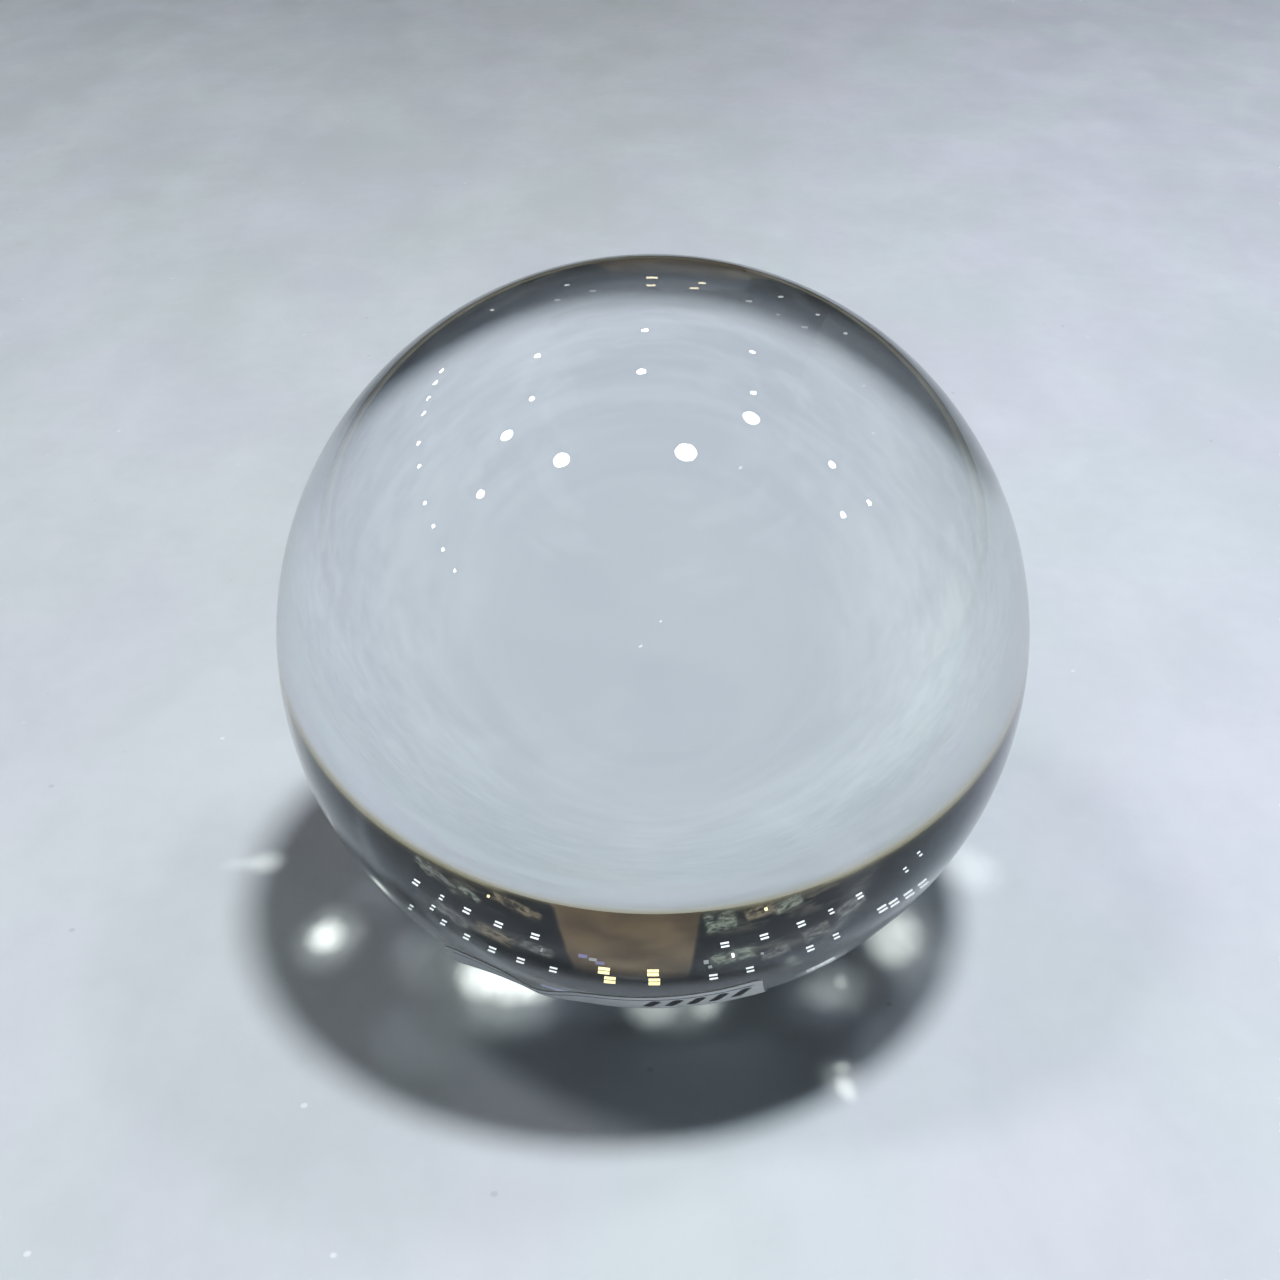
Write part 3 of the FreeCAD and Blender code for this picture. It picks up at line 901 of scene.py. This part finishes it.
def build_small_lamps(sides=20):
    """Round lamps overhead, facing the ball, mirrored in the polish and along the rim."""
    mesh = bmesh.new()
    for x, y, degrees in SMALL_LAMPS:
        place = Vector((x, y, LAMP_HEIGHT)) * RADIUS
        ray = place.normalized()
        right = Vector((ray.y, -ray.x, 0)).normalized()
        other = right.cross(ray)
        radius = math.tan(math.radians(degrees / 2)) * place.length
        angles = [k * math.pi / (sides / 2) for k in range(sides)]
        mesh.faces.new([mesh.verts.new(place + right * radius * math.cos(angle)
                                       + other * radius * math.sin(angle))
                        for angle in angles])
    lamp_group(mesh, "studio_small_lamps", [lamp_material("lamp_bright", (1.0, 1.0, 1.0), 34.0)],
               seen_through=False)


build_far_lamps()
build_room_shapes()
build_mirrored_rows()
build_small_lamps()
ball.cycles.is_caustics_caster = True
floor.cycles.is_caustics_receiver = True

# ---------------------------------------------------------------- the world
SKY = (  # elevation (degrees), colour
    (-5, (0.15, 0.14, 0.115)), (-2.0, (0.22, 0.205, 0.15)), (-0.7, (0.36, 0.33, 0.22)),
    (-0.1, (0.060, 0.054, 0.038)), (0.9, (0.016, 0.016, 0.016)), (4, (0.013, 0.015, 0.018)),
    (17, (0.017, 0.019, 0.022)), (20.5, (0.045, 0.048, 0.053)), (24, (0.155, 0.160, 0.170)),
    (29, (0.190, 0.195, 0.205)), (36, (0.172, 0.178, 0.190)), (46, (0.095, 0.100, 0.110)),
    (62, (0.034, 0.036, 0.040)), (90, (0.026, 0.027, 0.029)),
)


def sky_colour(net, elevation):
    ramp = net.add("ShaderNodeValToRGB")
    net.fill(ramp, {"Fac": net.smooth(elevation, span=(-10.0, 90.0))})
    places = [smoothstep(-10, 90, degrees) for degrees, _ in SKY]
    stops = ramp.color_ramp.elements
    stops[0].position, stops[1].position = places[0], places[-1]
    for place in places[1:-1]:
        stops.new(place)
    for stop, (_, colour) in zip(stops, SKY):
        stop.color = (*colour, 1)
    return ramp.outputs["Color"]


def build_world():
    """A dim, soft studio. Azimuth 0 is behind the ball and 90 is to the right."""
    world = bpy.data.worlds.new("studio_world")
    scene.world = world
    world.use_nodes = True
    net, background = start_net(world.node_tree, "ShaderNodeOutputWorld", "ShaderNodeBackground")
    ray = net.add("ShaderNodeTexCoord").outputs["Generated"]
    axes = net.separate(ray)
    degrees = 180 / math.pi
    elevation = net.times(net.math("ARCSINE", axes["Z"]), degrees)
    azimuth = net.times(net.math("ARCTAN2", axes["X"], axes["Y"]), degrees)

    def window(sides, heights):
        """A soft-edged window; each pair of spans is a rise and a fall, in degrees."""
        return net.times(net.band(azimuth, *sides), net.band(elevation, *heights))

    room = sky_colour(net, elevation)
    # a broken paler rail behind, a little above the floor's edge, and soft shapes below it
    cloud = net.noise(net.stretch(ray, (7.0, 7.0, 16.0)), scale=1.7, detail=4.0, rough=0.6)
    grain = net.noise(net.stretch(ray, (26.0, 26.0, 50.0)), scale=1.6, rough=0.6)
    rail = net.times(net.times(net.band(elevation, rise=(8.5, 10.5), fall=(13.0, 15.5)),
                               net.band(azimuth, rise=(-36.0, -24.0), fall=(24.0, 36.0))),
                     net.smooth(cloud, span=(0.40, 0.60)))
    rail = net.times(rail, net.smooth(grain, span=(0.30, 0.62), to=(0.45, 1.0)))
    room = net.mix(net.times(rail, 0.9), room, (0.105, 0.098, 0.088))
    low = net.times(net.times(net.band(elevation, rise=(-1.5, 0.0), fall=(3.5, 6.0)),
                              net.band(azimuth, rise=(-30.0, -20.0), fall=(20.0, 30.0))),
                    net.smooth(cloud, span=(0.44, 0.62)))
    room = net.mix(net.times(low, 0.9), room, (0.115, 0.110, 0.088))
    # a warm panel straight behind, with a dark strip on each side
    panel = window(sides=((-5.4, -4.6), (9.6, 10.4)), heights=((-2.2, -0.6), (13.0, 21.0)))
    warm = net.mix(net.smooth(net.noise(ray, scale=7.0, detail=2.0), span=(0.35, 0.65)),
                   (0.180, 0.136, 0.088), (0.112, 0.084, 0.055))
    room = net.mix(panel, room, warm)
    strips = net.plus(net.band(azimuth, rise=(-8.2, -6.8), fall=(-5.3, -4.7)),
                      net.band(azimuth, rise=(9.8, 10.6), fall=(14.5, 16.5)))
    strips = net.times(strips, net.band(elevation, rise=(-1.5, 0.0), fall=(17.0, 21.0)))
    room = net.mix(net.times(strips, 0.75), room, (0.008, 0.009, 0.012))
    # paler near the horizon on the camera's side, so the floor's mirror image fades softly
    front = net.times(net.smooth(axes["Y"], span=(0.15, -0.45)),
                      net.minus(1.0, net.smooth(elevation, span=(-3.0, 30.0))))
    room = net.mix(net.math("POWER", front, 1.6), room, (0.42, 0.45, 0.48))
    # pale, streaky walls to the right and, fainter, to the left
    streak = net.noise(net.stretch(ray, (5.0, 5.0, 1.2)), scale=2.0, rough=0.55)
    right = window(sides=((52.0, 80.0), (118.0, 140.0)), heights=((-12.0, -2.0), (18.0, 40.0)))
    left = window(sides=((-140.0, -115.0), (-85.0, -60.0)),
                  heights=((-12.0, -2.0), (14.0, 30.0)))
    right = net.times(right, net.smooth(streak, span=(0.34, 0.60), to=(0.35, 1.0)))
    room = net.mix(right, room, (0.80, 0.77, 0.73))
    left = net.times(left, net.smooth(streak, span=(0.36, 0.62), to=(0.2, 0.8)))
    room = net.mix(left, room, (0.42, 0.44, 0.46))
    # broken pale ceiling panels
    panels = net.noise(net.stretch(ray, (2.2, 2.2, 9.0)), scale=1.5, warp=0.3)
    ceiling = net.times(net.band(elevation, rise=(36.0, 44.0), fall=(64.0, 76.0)),
                        net.smooth(panels, span=(0.50, 0.66)))
    room = net.mix(ceiling, room, (0.60, 0.63, 0.66))
    # the walls light the floor less than they show in the glass
    diffuse = net.add("ShaderNodeLightPath").outputs["Is Diffuse Ray"]
    net.fill(background, {"Color": room, "Strength": net.minus(1.0, net.times(diffuse, 0.66))})


build_world()

# ---------------------------------------------------------------- render settings
scene.view_settings.view_transform = "Standard"
# a camera's slight toe: the deepest tones are a little deeper
scene.view_settings.use_curve_mapping = True
mapping = scene.view_settings.curve_mapping
mapping.use_clip = False
mapping.extend = "EXTRAPOLATED"
for tone in ((0.04, 0.021), (0.10, 0.065), (0.18, 0.150), (0.30, 0.29), (0.5, 0.5)):
    mapping.curves[3].points.new(*tone)
mapping.update()
scene.cycles.caustics_refractive = True
scene.cycles.caustics_reflective = False
scene.cycles.max_bounces = 16
scene.cycles.transmission_bounces = 12
